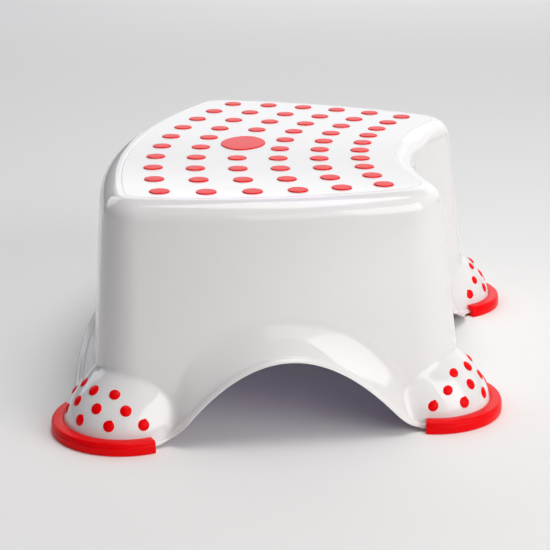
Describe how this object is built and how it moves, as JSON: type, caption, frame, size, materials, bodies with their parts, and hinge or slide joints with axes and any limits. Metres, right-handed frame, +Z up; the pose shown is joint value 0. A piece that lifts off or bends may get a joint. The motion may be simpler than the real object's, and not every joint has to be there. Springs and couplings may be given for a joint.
{
  "type": "step stool",
  "caption": "Low one-step stool: a hollow moulded shell with arched sides on domed feet, soft round grips on its tread and soft rims round its feet.",
  "frame": {"origin": "on the floor at the middle of the footprint", "axes": "+X along the length, +Z up; the long bowed edge faces -Y and the hollow edge faces +Y"},
  "size_m": [0.407, 0.2805, 0.1408],
  "materials": {
    "white_plastic": "smooth glossy injection-moulded polypropylene",
    "red_grip": "satin thermoplastic rubber moulded onto the shell"
  },
  "bodies": {
    "root": {"shell": "white_plastic", "centre_oval": "red_grip", "tread_dots_1": "red_grip", "tread_dots_2": "red_grip", "tread_dots_3": "red_grip", "tread_dots_4": "red_grip", "tread_dots_5": "red_grip", "tread_dots_6": "red_grip", "rim_front_right": "red_grip", "rim_front_left": "red_grip", "rim_back_right": "red_grip", "rim_back_left": "red_grip", "foot_dots_front_right": "red_grip", "foot_dots_front_left": "red_grip", "foot_dots_back_right": "red_grip", "foot_dots_back_left": "red_grip"}
  },
  "joints": []
}
